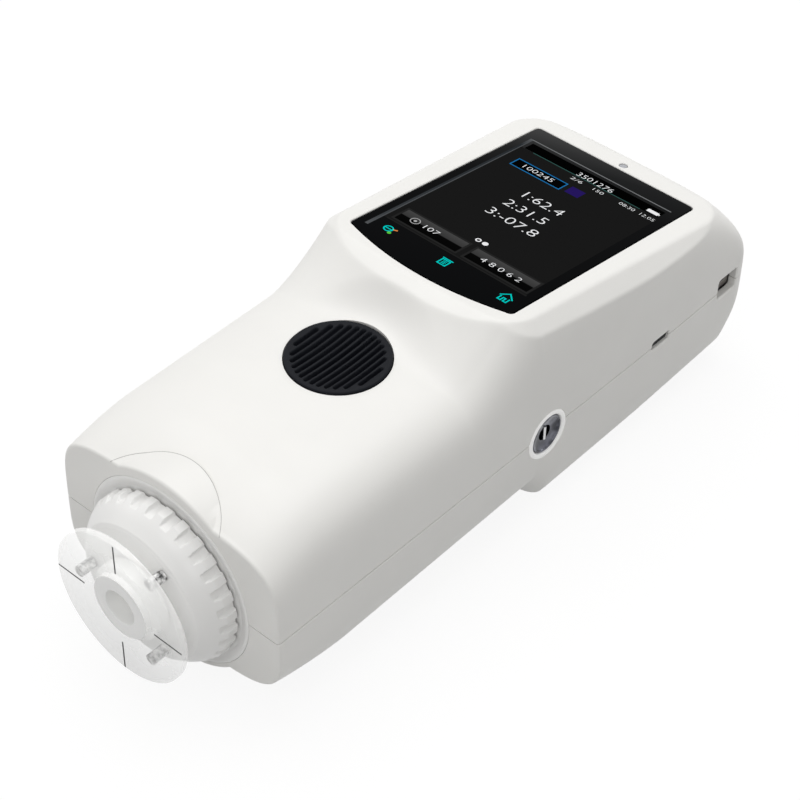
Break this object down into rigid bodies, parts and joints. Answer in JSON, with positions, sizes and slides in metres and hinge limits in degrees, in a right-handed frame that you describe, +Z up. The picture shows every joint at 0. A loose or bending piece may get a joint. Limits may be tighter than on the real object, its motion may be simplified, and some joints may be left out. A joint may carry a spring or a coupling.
{
  "type": "hand-held colorimeter",
  "caption": "Hand-held colour measuring instrument: slim handle, tilted touch screen, round measuring button, and a nose with a scalloped drum and a clear locating plate.",
  "frame": {"origin": "middle of the box's bottom, on the plane that the instrument rests on", "axes": "+Y from the nose to the rear, the longest side; +Z up, the shortest side; +X to the instrument's right, where the strap anchor is"},
  "size_m": [0.0788, 0.216, 0.0705],
  "materials": {
    "shell": "satin warm white moulded case",
    "white": "satin white",
    "clear": "clear acrylic",
    "glass": "black printed cover glass",
    "screen": "display panel",
    "indicator": "grey window",
    "button": "dark grooved",
    "black": "moulded",
    "grey": "moulded",
    "board": "green circuit board",
    "steel": "plain",
    "chrome": "polished",
    "cell": "wrapped cell",
    "alloy": "black anodised",
    "barium": "matt white coating",
    "optic": "polished lens"
  },
  "bodies": {
    "housing": {"upper_shell": "shell", "lower_shell": "shell", "housing_screw_1": "steel", "housing_screw_2": "steel", "housing_screw_3": "steel", "housing_screw_4": "steel", "touch_glass": "glass", "display_module": "screen", "display_frame": "grey", "indicator_window": "indicator", "collar_ring": "white", "button_guide": "black", "button_spring": "steel", "switch_board": "board", "push_switch": "black", "sphere_front": "barium", "sphere_rear": "barium", "optics_cradle": "black", "lamp": "optic", "lamp_board": "board", "lens_tube": "alloy", "lens": "optic", "sensor_housing": "alloy", "sensor_board": "board", "sensor_bracket": "black", "main_board": "board", "board_screw_1": "steel", "board_screw_2": "steel", "board_screw_3": "steel", "board_screw_4": "steel", "processor": "black", "buzzer": "black", "battery": "cell", "battery_clamp": "steel", "data_socket": "steel", "socket_board": "board", "strap_cup": "chrome", "strap_bar": "chrome"},
    "button": {"measure_button": "button"},
    "drum": {"aperture_drum": "white"},
    "locator": {"locating_plate": "clear", "aperture_hub": "white"}
  },
  "joints": [
    {"name": "button_press", "type": "slide", "parent": "housing", "child": "button", "axis": [0, 0, -1], "range_m": [0, 0.0012], "stiffness_N_per_m": 1200, "springref_m": -0.0008, "deforming": ["button_spring"]},
    {"name": "drum_turn", "type": "hinge", "parent": "housing", "child": "drum", "pos_m": [0, -0.0938, 0.0295], "axis": [0, 1, 0], "range_deg": [0, 30]},
    {"name": "plate_pull", "type": "slide", "parent": "drum", "child": "locator", "axis": [0, -1, 0], "range_m": [0, 0.012]}
  ]
}
